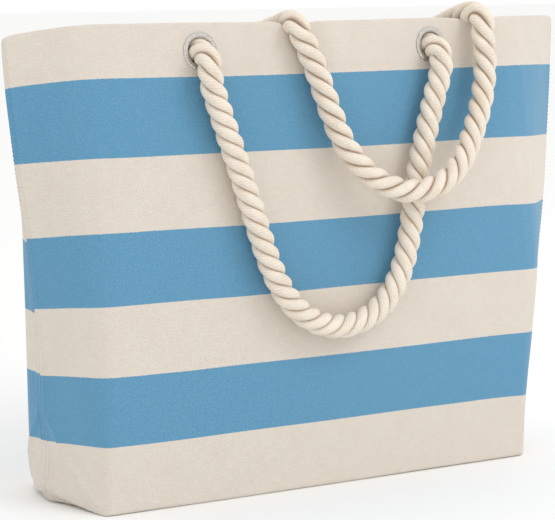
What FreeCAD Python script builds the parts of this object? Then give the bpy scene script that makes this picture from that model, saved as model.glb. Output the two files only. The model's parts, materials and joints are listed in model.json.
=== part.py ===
import FreeCAD, Part
import math
import os

import Sketcher

# Striped canvas tote bag with two rope handles, millimetres.
# Frame: +Z up, front faces -Y, width along X, origin under the middle of the base.

os.makedirs("parts", exist_ok=True)
doc = FreeCAD.newDocument("RopeHandleTote")

# ---------------------------------------------------------------- driving dimensions
SIZES = (
    # the sewn canvas bag
    ("panel_length", 404),        # front between its two corner creases
    ("gusset_half", 68),          # cloth from a corner crease to the side seam
    ("bag_height", 372),
    ("base_half_depth", 61),
    ("mouth_half_depth", 28),     # half the mouth at the creases
    ("mouth_bulge", 8),           # how far the middle of the mouth stands out past the creases
    ("mouth_droop", 12),          # how far the rim falls at the side seams
    ("back_sag", 8),              # how far the back rim sags, drawn forward by its handle
    ("cloth", 1.6),
    ("ply_gap", 0.2),             # air between two plies or a ply and a metal face
    ("seam_gap", 0.3),            # between the two panels along their seams
    ("facing_depth", 36),
    ("seam_width", 10),
    ("seam_thick", 3),
    # rope rests on the rim in shallow dips
    ("dip_depth", 7),
    ("dip_round", 80),
    # eyelets
    ("eyelet_spacing", 220),
    ("eyelet_drop", 22),
    ("eyelet_hole", 21),
    ("eyelet_outer", 29),
    ("eyelet_flange", 1.3),
    ("eyelet_wall", 0.7),
    ("washer_outer", 30),
    ("washer_thick", 1),
    # rope
    ("rope", 19),
    ("pivot_out", 13.2),          # pivot of a handle in front of the cloth
    ("pivot_gap", 1.2),           # between a fixed rope end and the swinging rope
    ("over_rim", 7),              # pivot over the front rim above the bag height
    ("knot_width", 44),
    ("knot_depth", 33),
    ("knot_height", 50),
    ("tail_length", 24),
    ("whipping_length", 15),
    ("whipping_wall", 0.8),
    ("whipping_fit", 0.05),
)

sheet = doc.addObject("Spreadsheet::Sheet", "Sizes")
for row, (alias, number) in enumerate(SIZES, start=1):
    sheet.set("A%d" % row, alias)
    sheet.set("B%d" % row, str(number))
    sheet.setAlias("B%d" % row, alias)
doc.recompute()


class Size:
    """A length kept both as a number and as the sheet expression that gives it."""

    def __init__(self, number, text):
        self.number = number
        self.text = text

    def _join(self, other, sign, number):
        text = other.text if isinstance(other, Size) else repr(other)
        return Size(number, "(%s %s %s)" % (self.text, sign, text))

    def __add__(self, other):
        return self._join(other, "+", self.number + plain(other))

    def __sub__(self, other):
        return self._join(other, "-", self.number - plain(other))

    def __mul__(self, other):
        return self._join(other, "*", self.number * plain(other))

    def __truediv__(self, other):
        return self._join(other, "/", self.number / plain(other))

    def __neg__(self):
        return Size(-self.number, "(-%s)" % self.text)


def plain(value):
    """The number in a Size, or the number itself."""
    return value.number if isinstance(value, Size) else value


def size(alias):
    """One driving dimension with its sheet expression."""
    return Size(float(sheet.get(alias)), "Sizes.%s" % alias)


def number(alias):
    """One driving dimension as a plain number."""
    return float(sheet.get(alias))


ZERO = Size(0.0, "0")
CLOTH = number("cloth")
PLY_GAP = number("ply_gap")
HEIGHT = number("bag_height")
CREASE_X = number("panel_length") / 2
GUSSET = number("gusset_half")
ROPE_RADIUS = number("rope") / 2
EYELET_X = number("eyelet_spacing") / 2
FACING_OUT = CLOTH + PLY_GAP
FACING_IN = FACING_OUT + CLOTH
LEAN_CURVED = 0.82                # share of the lean that grows with the square of height
BASE_BULGE = 0.5
FRONT, BACK = -1, 1
RIM = {FRONT: HEIGHT, BACK: HEIGHT - number("back_sag")}
EYELET_Z = {side: rim - number("eyelet_drop") for side, rim in RIM.items()}
LEFT, RIGHT = -1, 1
SIDE_NAME = {FRONT: "front", BACK: "back"}
HAND_NAME = {LEFT: "left", RIGHT: "right"}
DIPS = {FRONT: (-29, 160), BACK: (-21, 174)}    # where each rim carries the rope, along X
sub_parts = []


# ---------------------------------------------------------------- shape of the sewn bag
def crease_depth(z):
    """Half depth of the bag at its corner creases: deep at the base, shallow at the mouth."""
    share = z / HEIGHT
    lean = number("base_half_depth") - number("mouth_half_depth")
    return number("base_half_depth") - lean * (LEAN_CURVED * share ** 2 + (1 - LEAN_CURVED) * share)


def bulge(z):
    """How far the middle of a panel stands out past its creases."""
    return BASE_BULGE + (number("mouth_bulge") - BASE_BULGE) * z / HEIGHT


def face_depth(x, z):
    """Distance from the middle plane to the outer face of a panel."""
    return crease_depth(z) + bulge(z) * (1 - (x / CREASE_X) ** 2)


def seam_x(z):
    """Where the side seam lies: the gusset keeps its cloth width at every height."""
    return CREASE_X + math.sqrt(GUSSET ** 2 - crease_depth(z) ** 2)


def outline(z, inset):
    """Right crease and right seam point of the front half, inset from the outer face."""
    depth = crease_depth(z)
    along_x = (seam_x(z) - CREASE_X) / GUSSET
    along_y = depth / GUSSET
    to_crease = inset * (1 - along_x) / along_y
    crease = (CREASE_X - inset * along_y + to_crease * along_x, inset - depth)
    half_gap = number("seam_gap") / 2
    to_seam = (depth - half_gap - inset * along_x) / along_y
    return crease, (CREASE_X - inset * along_y + to_seam * along_x, -half_gap)


def half_edges(z, inset):
    """Edges of the front half's outline from the left seam round to the right seam."""
    (crease_x, crease_y), (end_x, end_y) = outline(z, inset)
    left_seam = FreeCAD.Vector(-end_x, end_y, z)
    left_crease = FreeCAD.Vector(-crease_x, crease_y, z)
    middle = FreeCAD.Vector(0, crease_y - bulge(z), z)
    right_crease = FreeCAD.Vector(crease_x, crease_y, z)
    right_seam = FreeCAD.Vector(end_x, end_y, z)
    return [Part.LineSegment(left_seam, left_crease).toShape(),
            Part.Arc(left_crease, middle, right_crease).toShape(),
            Part.LineSegment(right_crease, right_seam).toShape()]


def end_points(edges):
    """First and last point of a run of edges drawn left to right."""
    return edges[0].Vertexes[0].Point, edges[-1].Vertexes[-1].Point


def ply_section(z, outer, inner):
    """Closed section of one ply of cloth between two insets."""
    outside = half_edges(z, outer)
    inside = half_edges(z, inner)
    out_left, out_right = end_points(outside)
    in_left, in_right = end_points(inside)
    ends = [Part.LineSegment(out_right, in_right).toShape(), Part.LineSegment(in_left, out_left).toShape()]
    return Part.Wire(Part.__sortEdges__(outside + inside + ends))


def ply(low, high, outer, inner, sections):
    """Front ply of cloth lofted through sections from one height to another."""
    heights = [low + (high - low) * step / (sections - 1) for step in range(sections)]
    return Part.makeLoft([ply_section(z, outer, inner) for z in heights], True, False)


def base_half():
    """Half of the base, the same cloth as the front turned under."""
    edges = half_edges(0, 0)
    left, right = end_points(edges)
    edges.append(Part.LineSegment(right, left).toShape())
    return Part.Face(Part.Wire(Part.__sortEdges__(edges))).extrude(FreeCAD.Vector(0, 0, CLOTH))


def above_rim(side):
    """Everything above a side's rim, which falls towards the side seams."""
    start_x = 0.6 * CREASE_X
    end_x = seam_x(HEIGHT) + 5
    end_z = HEIGHT - number("mouth_droop")
    reach = 2 * number("base_half_depth")
    line = [(-end_x, HEIGHT + 5), (-end_x, end_z), (-start_x, RIM[side]),
            (start_x, RIM[side]), (end_x, end_z), (end_x, HEIGHT + 5)]
    corners = [FreeCAD.Vector(x, -reach, z) for x, z in line]
    return Part.Face(Part.makePolygon(corners + corners[:1])).extrude(FreeCAD.Vector(0, reach, 0))


def rim_dips(side):
    """Round tools that press a rim down where a rope crosses it."""
    radius = number("dip_round")
    height = RIM[side] - number("dip_depth") + radius
    reach = 2 * number("base_half_depth")
    return [Part.makeCylinder(radius, reach, FreeCAD.Vector(x, -reach, height), FreeCAD.Vector(0, 1, 0))
            for x in DIPS[side]]


def eyelet_frame(side, hand):
    """Point on the outer face under an eyelet's middle, and the outward direction there."""
    step = 0.5
    x = hand * EYELET_X
    z = EYELET_Z[side]
    slope_x = (face_depth(x + step, z) - face_depth(x - step, z)) / (2 * step)
    slope_z = (face_depth(x, z + step) - face_depth(x, z - step)) / (2 * step)
    outward = FreeCAD.Vector(-slope_x, side, -slope_z).normalize()
    return FreeCAD.Vector(x, side * face_depth(x, z), z), outward


def eyelet_bores(side, extra):
    """Bores for a side's two eyelets, drawn through the front cloth."""
    radius = number("eyelet_hole") / 2 + number("eyelet_wall") + extra
    bores = []
    for hand in (LEFT, RIGHT):
        point, outward = eyelet_frame(side, hand)
        point.y, outward.y = -abs(point.y), -abs(outward.y)
        bores.append(Part.makeCylinder(radius, 30, point + outward * 15, outward * -1))
    return bores


def placed(shape, name, placement=FreeCAD.Placement()):
    """Add a finished shape to the document as a sub-part of its own."""
    feature = doc.addObject("Part::Feature", name)
    feature.Shape = shape
    feature.Placement = placement
    feature.Label = name
    sub_parts.append(feature)
    return feature


def turned_to(side, shape):
    """Front shapes stay as they are, back shapes are mirrored through the middle plane."""
    if side == FRONT:
        return shape
    return shape.mirror(FreeCAD.Vector(0, 0, 0), FreeCAD.Vector(0, 1, 0))


for side in (FRONT, BACK):
    cutters = [above_rim(side)] + rim_dips(side) + eyelet_bores(side, 0.2)
    wall = ply(0, HEIGHT, 0, CLOTH, 6).fuse(base_half()).removeSplitter()
    placed(turned_to(side, wall.cut(cutters)), "%s_panel" % SIDE_NAME[side])
    facing = ply(RIM[side] - number("facing_depth"), HEIGHT, FACING_OUT, FACING_IN, 3)
    placed(turned_to(side, facing.cut(cutters)), "%s_facing" % SIDE_NAME[side])


# ---------------------------------------------------------------- inside seams, bound with tape
def side_seam(hand):
    """Bound seam allowance standing inwards along a side seam."""
    low = CLOTH + number("seam_width") + 1
    high = RIM[BACK] - number("mouth_droop") - number("facing_depth") - 2
    half = number("seam_thick") / 2
    sections = []
    for step in range(5):
        z = low + (high - low) * step / 4
        outer_x = outline(z, FACING_OUT + half)[1][0] - 1
        inner_x = outer_x - number("seam_width")
        corners = [FreeCAD.Vector(hand * outer_x, -half, z), FreeCAD.Vector(hand * inner_x, -half, z),
                   FreeCAD.Vector(hand * inner_x, half, z), FreeCAD.Vector(hand * outer_x, half, z)]
        sections.append(Part.makePolygon(corners + corners[:1]))
    return Part.makeLoft(sections, True, False)


def corner_seam(hand):
    """Bound seam across a boxed corner, standing up along the end of the base."""
    outer = outline(CLOTH, CLOTH + PLY_GAP)
    inner = outline(CLOTH, CLOTH + PLY_GAP + number("seam_thick"))
    front_run = [outer[0], (outer[1][0], 0), (outer[0][0], -outer[0][1])]
    back_run = [(inner[0][0], -inner[0][1]), (inner[1][0], 0), inner[0]]
    corners = [FreeCAD.Vector(hand * x, y, CLOTH + PLY_GAP) for x, y in front_run + back_run]
    face = Part.Face(Part.makePolygon(corners + corners[:1]))
    return face.extrude(FreeCAD.Vector(0, 0, number("seam_width")))


for hand in (LEFT, RIGHT):
    placed(side_seam(hand), "%s_side_seam" % HAND_NAME[hand])
    placed(corner_seam(hand), "%s_corner_seam" % HAND_NAME[hand])

base_seam = doc.addObject("Part::Box", "base_seam")
base_seam.setExpression("Length", "Sizes.panel_length - 4 * Sizes.seam_thick")
base_seam.setExpression("Width", "2 * Sizes.seam_width")
base_seam.setExpression("Height", "Sizes.seam_thick")
base_seam.setExpression("Placement.Base.x", "-(Sizes.panel_length / 2 - 2 * Sizes.seam_thick)")
base_seam.setExpression("Placement.Base.y", "-Sizes.seam_width")
base_seam.setExpression("Placement.Base.z", "Sizes.cloth + Sizes.ply_gap")
base_seam.Label = "base_seam"
sub_parts.append(base_seam)


# ---------------------------------------------------------------- turned metal and thread pieces
def origin_plane(body, role):
    """One of a body's own origin planes."""
    return [plane for plane in body.Origin.OriginFeatures if plane.Role == role][0]


def turned_body(name, points, placement):
    """A body made by turning a closed profile of (radius, height) sizes about its own Z axis."""
    body = doc.addObject("PartDesign::Body", name)
    sketch = body.newObject("Sketcher::SketchObject", name + "_profile")
    sketch.AttachmentSupport = [(origin_plane(body, "XZ_Plane"), "")]
    sketch.MapMode = "FlatFace"
    corners = [FreeCAD.Vector(radius.number, height.number, 0) for radius, height in points]
    for start, end in zip(corners, corners[1:] + corners[:1]):
        sketch.addGeometry(Part.LineSegment(start, end), False)
    last = len(points) - 1
    for index in range(len(points)):
        following = 0 if index == last else index + 1
        sketch.addConstraint(Sketcher.Constraint("Coincident", index, 2, following, 1))
    for index, (radius, height) in enumerate(points):
        for kind, length, label in (("DistanceX", radius, "x"), ("DistanceY", height, "y")):
            place = sketch.addConstraint(Sketcher.Constraint(kind, -1, 1, index, 1, length.number))
            sketch.renameConstraint(place, "%s%d" % (label, index))
            sketch.setExpression("Constraints.%s%d" % (label, index), length.text)
    turned = body.newObject("PartDesign::Revolution", name + "_turned")
    turned.Profile = sketch
    turned.ReferenceAxis = (sketch, ["V_Axis"])
    turned.Angle = 360
    body.Tip = turned
    body.Placement = placement
    body.Label = name
    sub_parts.append(body)
    return body


def facing_out(side, hand):
    """Placement that stands a turned piece on the cloth with its axis outward."""
    point, outward = eyelet_frame(side, hand)
    return FreeCAD.Placement(point, FreeCAD.Rotation(FreeCAD.Vector(0, 0, 1), outward))


bore = size("eyelet_hole") / 2
barrel = bore + size("eyelet_wall")
stack = size("cloth") * 2 + size("ply_gap") * 3 + size("washer_thick")
face = size("ply_gap")
EYELET_PROFILE = [
    (bore, -(stack + 1.6)), (barrel + 1.6, -(stack + 1.6)), (barrel + 2.2, -(stack + 1.0)),
    (barrel + 1.6, -(stack + 0.2)), (barrel, -(stack + 0.2)), (barrel, face),
    (size("eyelet_outer") / 2, face), (size("eyelet_outer") / 2, face + 0.4),
    (size("eyelet_outer") / 2 - 1.0, face + size("eyelet_flange")),
    (bore + 1.0, face + size("eyelet_flange")), (bore, face + 0.4),
]
WASHER_PROFILE = [
    (barrel + 0.15, -stack), (size("washer_outer") / 2, -stack),
    (size("washer_outer") / 2, size("washer_thick") - stack), (barrel + 0.15, size("washer_thick") - stack),
]
whipping_inner = size("rope") / 2 + size("whipping_fit")
whipping_outer = whipping_inner + size("whipping_wall")
WHIPPING_PROFILE = [
    (whipping_inner, ZERO), (whipping_outer, ZERO),
    (whipping_outer, size("whipping_length")), (whipping_inner, size("whipping_length")),
]

for side in (FRONT, BACK):
    for hand in (LEFT, RIGHT):
        corner_name = "%s_%s" % (SIDE_NAME[side], HAND_NAME[hand])
        turned_body(corner_name + "_eyelet", EYELET_PROFILE, facing_out(side, hand))
        turned_body(corner_name + "_washer", WASHER_PROFILE, facing_out(side, hand))


# ---------------------------------------------------------------- rope
def rope_path(route, report):
    """Wire of straight runs joined by tangent arcs, each as large as its two runs allow."""
    points = [FreeCAD.Vector(*point) for point in route]
    edges = []
    start = points[0]
    radii = []
    for before, corner, after in zip(points, points[1:], points[2:]):
        back = (before - corner).normalize()
        onward = (after - corner).normalize()
        cut = 0.45 * min((before - corner).Length, (after - corner).Length)
        half_turn = (math.pi - back.getAngle(onward)) / 2
        radius = cut / math.tan(half_turn)
        radii.append(round(radius, 1))
        arc_start = corner + back * cut
        arc_end = corner + onward * cut
        middle = (back + onward).normalize()
        arc_middle = corner + middle * (radius / math.cos(half_turn) - radius)
        edges.append(Part.LineSegment(start, arc_start).toShape())
        edges.append(Part.Arc(arc_start, arc_middle, arc_end).toShape())
        start = arc_end
    edges.append(Part.LineSegment(start, points[-1]).toShape())
    print(report, "bend radii", radii)
    return Part.Wire(edges)


def rope_tube(route, name):
    """Round rope swept along a route, with its volume compared to section times length."""
    path = rope_path(route, name)
    direction = FreeCAD.Vector(*route[1]) - FreeCAD.Vector(*route[0])
    section = Part.Wire(Part.makeCircle(ROPE_RADIUS, FreeCAD.Vector(*route[0]), direction))
    tube = path.makePipeShell([section], True, True)
    expected = math.pi * ROPE_RADIUS ** 2 * path.Length
    print(name, "length", round(path.Length, 1), "volume share", round(tube.Volume / expected, 4))
    if abs(tube.Volume / expected - 1) > 0.02:
        raise ValueError(name + " rope volume is wrong")
    return tube


def ball(point):
    """Round rope end centred on a pivot, so that it swings in place."""
    return Part.makeSphere(ROPE_RADIUS, FreeCAD.Vector(*point))


def trimmed_start(route, gap):
    """Route whose first point is moved along its first run by a gap."""
    first, second = FreeCAD.Vector(*route[0]), FreeCAD.Vector(*route[1])
    moved = first + (second - first).normalize() * gap
    return [tuple(moved)] + list(route[1:])


# Pivots: at the mouth of each pair of eyelets, and where the back handle folds over the front rim.
PIVOT_DEPTH = {side: face_depth(EYELET_X, EYELET_Z[side]) + number("pivot_out") for side in (FRONT, BACK)}
PIVOT_RIM_Y = -(face_depth(0, HEIGHT) + number("pivot_out"))
PIVOT_RIM_Z = HEIGHT + number("over_rim")
FRONT_PIVOT = (-PIVOT_DEPTH[FRONT], EYELET_Z[FRONT])
BACK_PIVOT = (PIVOT_DEPTH[BACK], EYELET_Z[BACK])
RIM_PIVOT = (PIVOT_RIM_Y, PIVOT_RIM_Z)
print("pivots", FRONT_PIVOT, BACK_PIVOT, RIM_PIVOT)

# Front handle: hangs in front of the panel from its two eyelets.
FRONT_LOOP = [
    (-EYELET_X,) + FRONT_PIVOT,
    (-111, -52, 335), (-105, -55.5, 311), (-95, -59, 281), (-84, -62.5, 248), (-73, -65.5, 214),
    (-61.5, -68, 181), (-45, -70.5, 152.5), (-19, -72, 134), (12, -72, 130), (41, -71, 141.5),
    (61, -69.5, 165.5), (70.5, -67.5, 194), (76.5, -65, 225), (83, -62, 256), (93, -58.5, 286),
    (103, -54.5, 313), (109, -52, 334),
    (EYELET_X,) + FRONT_PIVOT,
]
# Back handle: up from the back eyelets, over both rims, then down over the front handle.
BACK_LEFT_LEG = [
    (-EYELET_X,) + BACK_PIVOT,
    (-88, 56.5, 347), (-62, 56, 358), (-38.5, 48, 371.5), (-20.5, 30, 380.5), (-13, 6, 384),
    (-16, -16, 384.5), (-23.5, -34, 383),
    (-31,) + RIM_PIVOT,
]
BACK_RIGHT_LEG = [
    (EYELET_X,) + BACK_PIVOT,
    (133, 57, 347), (156, 53.5, 357.5), (171, 41.5, 370), (177, 22.5, 379.5), (175, 2, 384.5),
    (169.5, -18, 385.5), (163, -35, 384),
    (158,) + RIM_PIVOT,
]
BACK_LOOP = [
    (-31,) + RIM_PIVOT,
    (-24, -53, 358), (-13, -57, 330), (-3.5, -61, 300), (8, -66, 272), (27, -73, 249), (55, -83, 236),
    (85, -88, 240), (111, -82, 257), (131, -70, 280), (146.5, -60.5, 305), (156, -55, 332), (160, -51, 358),
    (158,) + RIM_PIVOT,
]
# Inside each eyelet the rope turns down to its stopper knot: (sideways, inwards, down) from the pivot.
END_TURN = [(0, 27.9, 0), (9, 40.2, 8.3), (24, 40.2, 25.3), (24, 40.2, 42.3)]


def rope_end(side, hand):
    """Route of a fixed rope end from just outside its eyelet to the top of its knot."""
    drift = hand if side == FRONT else -hand
    stop = ROPE_RADIUS + number("pivot_gap")
    depth, height = PIVOT_DEPTH[side], EYELET_Z[side]
    route = [(hand * EYELET_X, side * (depth - stop), height)]
    for sideways, inwards, down in END_TURN:
        route.append((hand * EYELET_X + drift * sideways, side * (depth - inwards), height - down))
    return route


def stopper_knot(name, top):
    """Rounded stopper knot, flat above and below where the rope runs in and out."""
    width, depth, height = size("knot_width"), size("knot_depth"), size("knot_height")
    lump = doc.addObject("Part::Ellipsoid", name + "_lump")
    lump.setExpression("Radius1", (height * 0.66).text)
    lump.setExpression("Radius2", (width / 2).text)
    lump.setExpression("Radius3", (depth / 2).text)
    lump.Angle1, lump.Angle2, lump.Angle3 = -90, 90, 360
    lump.Placement.Base = FreeCAD.Vector(top[0], top[1], top[2] - height.number / 2)
    trim = doc.addObject("Part::Box", name + "_trim")
    for side_length, length in (("Length", width * 2), ("Width", depth * 2), ("Height", height)):
        trim.setExpression(side_length, length.text)
    trim.Placement.Base = FreeCAD.Vector(top[0] - width.number, top[1] - depth.number, top[2] - height.number)
    knot = doc.addObject("Part::Common", name)
    knot.Base, knot.Tool = lump, trim
    knot.Label = name
    sub_parts.append(knot)


def rope_tail(name, top):
    """Short rope tail below a knot, and the whipping bound round it."""
    tail = doc.addObject("Part::Cylinder", name + "_tail")
    tail.setExpression("Radius", "Sizes.rope / 2")
    tail.setExpression("Height", "Sizes.tail_length")
    tail.Placement.Base = FreeCAD.Vector(top[0], top[1], top[2] - number("tail_length"))
    tail.Label = name + "_tail"
    sub_parts.append(tail)
    foot = FreeCAD.Vector(top[0], top[1], top[2] - number("tail_length") + 3)
    turned_body(name + "_whipping", WHIPPING_PROFILE, FreeCAD.Placement(foot, FreeCAD.Rotation()))


for side in (FRONT, BACK):
    for hand in (LEFT, RIGHT):
        rope_name = "%s_%s" % (SIDE_NAME[side], HAND_NAME[hand])
        route = rope_end(side, hand)
        placed(rope_tube(route, rope_name + "_rope_end"), rope_name + "_rope_end")
        stopper_knot(rope_name + "_knot", route[-1])
        knot_foot = (route[-1][0], route[-1][1], route[-1][2] - number("knot_height"))
        rope_tail(rope_name, knot_foot)

front_loop = rope_tube(FRONT_LOOP, "front_handle_loop").fuse([ball(FRONT_LOOP[0]), ball(FRONT_LOOP[-1])])
placed(front_loop, "front_handle_loop")
back_loop = rope_tube(BACK_LOOP, "back_handle_loop").fuse([ball(BACK_LOOP[0]), ball(BACK_LOOP[-1])])
placed(back_loop, "back_handle_loop")
for hand, leg in ((LEFT, BACK_LEFT_LEG), (RIGHT, BACK_RIGHT_LEG)):
    leg_name = "back_handle_%s_leg" % HAND_NAME[hand]
    clear = ROPE_RADIUS + number("pivot_gap")
    shortened = trimmed_start(leg[::-1], clear)[::-1]
    placed(rope_tube(shortened, leg_name).fuse(ball(leg[0])), leg_name)

# ---------------------------------------------------------------- check and write
doc.recompute()
for item in doc.Objects:
    if "Invalid" in item.State or "Error" in item.State:
        raise ValueError("%s is %s" % (item.Label, item.State))
for item in sub_parts:
    if item.Shape.isNull() or not item.Shape.isValid():
        raise ValueError("%s has a bad shape" % item.Label)
    if len(item.Shape.Solids) != 1:
        raise ValueError("%s has %d solids" % (item.Label, len(item.Shape.Solids)))
for item in sub_parts:
    item.Shape.exportStep("parts/%s.step" % item.Label)
print("wrote", len(sub_parts), "sub-parts")
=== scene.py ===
"""Striped canvas tote bag with two twisted rope handles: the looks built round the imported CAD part.

Every length is in metres, in the part's own frame: +Z up, the front faces -Y, the origin is under
the middle of the base. Cloth is a pair of numpy surfaces over cloth coordinates, ropes are three
strands twisted round smooth splines, and every finish is a procedural node material.
"""

import json
import logging
import math
from dataclasses import dataclass, field
from enum import Enum
from typing import Sequence

import bpy
import numpy as np
from mathutils import Matrix, Vector

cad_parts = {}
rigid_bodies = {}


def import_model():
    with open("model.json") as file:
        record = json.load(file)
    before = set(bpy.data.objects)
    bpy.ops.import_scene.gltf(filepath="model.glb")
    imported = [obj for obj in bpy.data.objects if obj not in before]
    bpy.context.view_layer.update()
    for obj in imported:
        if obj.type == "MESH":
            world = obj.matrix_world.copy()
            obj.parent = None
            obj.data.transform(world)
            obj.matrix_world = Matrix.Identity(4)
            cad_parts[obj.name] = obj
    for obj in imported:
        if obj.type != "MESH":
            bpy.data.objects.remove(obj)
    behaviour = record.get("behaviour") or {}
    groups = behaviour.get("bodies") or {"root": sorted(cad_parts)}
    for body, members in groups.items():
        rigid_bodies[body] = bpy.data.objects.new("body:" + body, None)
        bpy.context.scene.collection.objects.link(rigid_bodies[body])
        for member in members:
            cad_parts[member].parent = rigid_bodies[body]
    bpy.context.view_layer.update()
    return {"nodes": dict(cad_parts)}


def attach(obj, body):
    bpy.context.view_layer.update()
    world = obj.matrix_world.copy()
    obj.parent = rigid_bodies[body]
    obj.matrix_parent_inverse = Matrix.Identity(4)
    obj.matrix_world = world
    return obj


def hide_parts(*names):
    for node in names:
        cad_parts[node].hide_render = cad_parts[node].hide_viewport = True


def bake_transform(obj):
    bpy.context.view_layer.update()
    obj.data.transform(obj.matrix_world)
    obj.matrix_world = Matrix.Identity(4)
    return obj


log = logging.getLogger("tote")
MM = 0.001
TAU = 2 * math.pi
Array = np.ndarray
Point = tuple[float, float, float]
Object = bpy.types.Object
Material = bpy.types.Material
Socket = bpy.types.NodeSocket


class Named(Enum):
    """A choice whose name is part of the CAD nodes' names."""

    @property
    def label(self) -> str:
        """Name used in CAD nodes."""
        return self.name.lower()


class Side(Named):
    """The two large faces of the bag, by the sign of their Y."""

    FRONT = -1
    BACK = 1


class Hand(Named):
    """Left and right, by the sign of X."""

    LEFT = -1
    RIGHT = 1


# ---- colour
def linear(hex_colour: str) -> tuple[float, float, float, float]:
    """Turn an sRGB hex colour into linear RGBA.

    Args:
        hex_colour: six hex digits, with or without a leading #.

    Returns:
        The colour as shader sockets take it.
    """
    digits = hex_colour.lstrip("#")
    channels = [int(digits[i : i + 2], 16) / 255 for i in (0, 2, 4)]
    return tuple(c / 12.92 if c <= 0.04045 else ((c + 0.055) / 1.055) ** 2.4 for c in channels) + (1.0,)


# ---- materials
COLOURS = {"data_type": "RGBA", "out": 2}
EASED = {"interpolation_type": "SMOOTHSTEP"}


class Finish:
    """A node material under construction."""

    def __init__(self, name: str) -> None:
        """Start an empty material with an output and a principled shader."""
        self.material = bpy.data.materials.new(name)
        self.material.use_nodes = True
        self.tree = self.material.node_tree
        self.tree.nodes.clear()
        self.shader = self.tree.nodes.new("ShaderNodeBsdfPrincipled")
        output = self.tree.nodes.new("ShaderNodeOutputMaterial")
        self.tree.links.new(self.shader.outputs[0], output.inputs[0])

    def feed(self, socket: Socket, value: Socket | float | tuple) -> None:
        """Link a socket to the one that feeds it, or set its constant."""
        if isinstance(value, Socket):
            self.tree.links.new(value, socket)
        else:
            socket.default_value = value

    def node(self, kind: str, *inputs, named: dict | None = None, out: int | str = 0, **settings) -> Socket:
        """Add a node with its settings and links.

        Args:
            kind: the node's type without its "ShaderNode" prefix.
            inputs: constants or sockets for its first inputs, in order.
            named: the same for other inputs, by name or number.
            out: the output to hand back.
            settings: the node's own properties.

        Returns:
            That output.
        """
        made = self.tree.nodes.new("ShaderNode" + kind)
        for key, value in settings.items():
            setattr(made, key, value)
        for key, value in [*enumerate(inputs), *(named or {}).items()]:
            self.feed(made.inputs[key], value)
        return made.outputs[out]

    def surface(self, height: Socket | None = None, distance: float = 0.0, **sockets) -> Material:
        """Finish the material.

        Args:
            height: socket of the bump's height, if it has one.
            distance: how far a height of 1 stands out, in metres.
            sockets: constants or sockets for the shader, with _ for each space in a name.

        Returns:
            The material.
        """
        for name, value in sockets.items():
            self.feed(self.shader.inputs[name.replace("_", " ")], value)
        if height is not None:
            bump = self.node("Bump", named={"Strength": 1.0, "Distance": distance, "Height": height})
            self.feed(self.shader.inputs["Normal"], bump)
        return self.material


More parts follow.
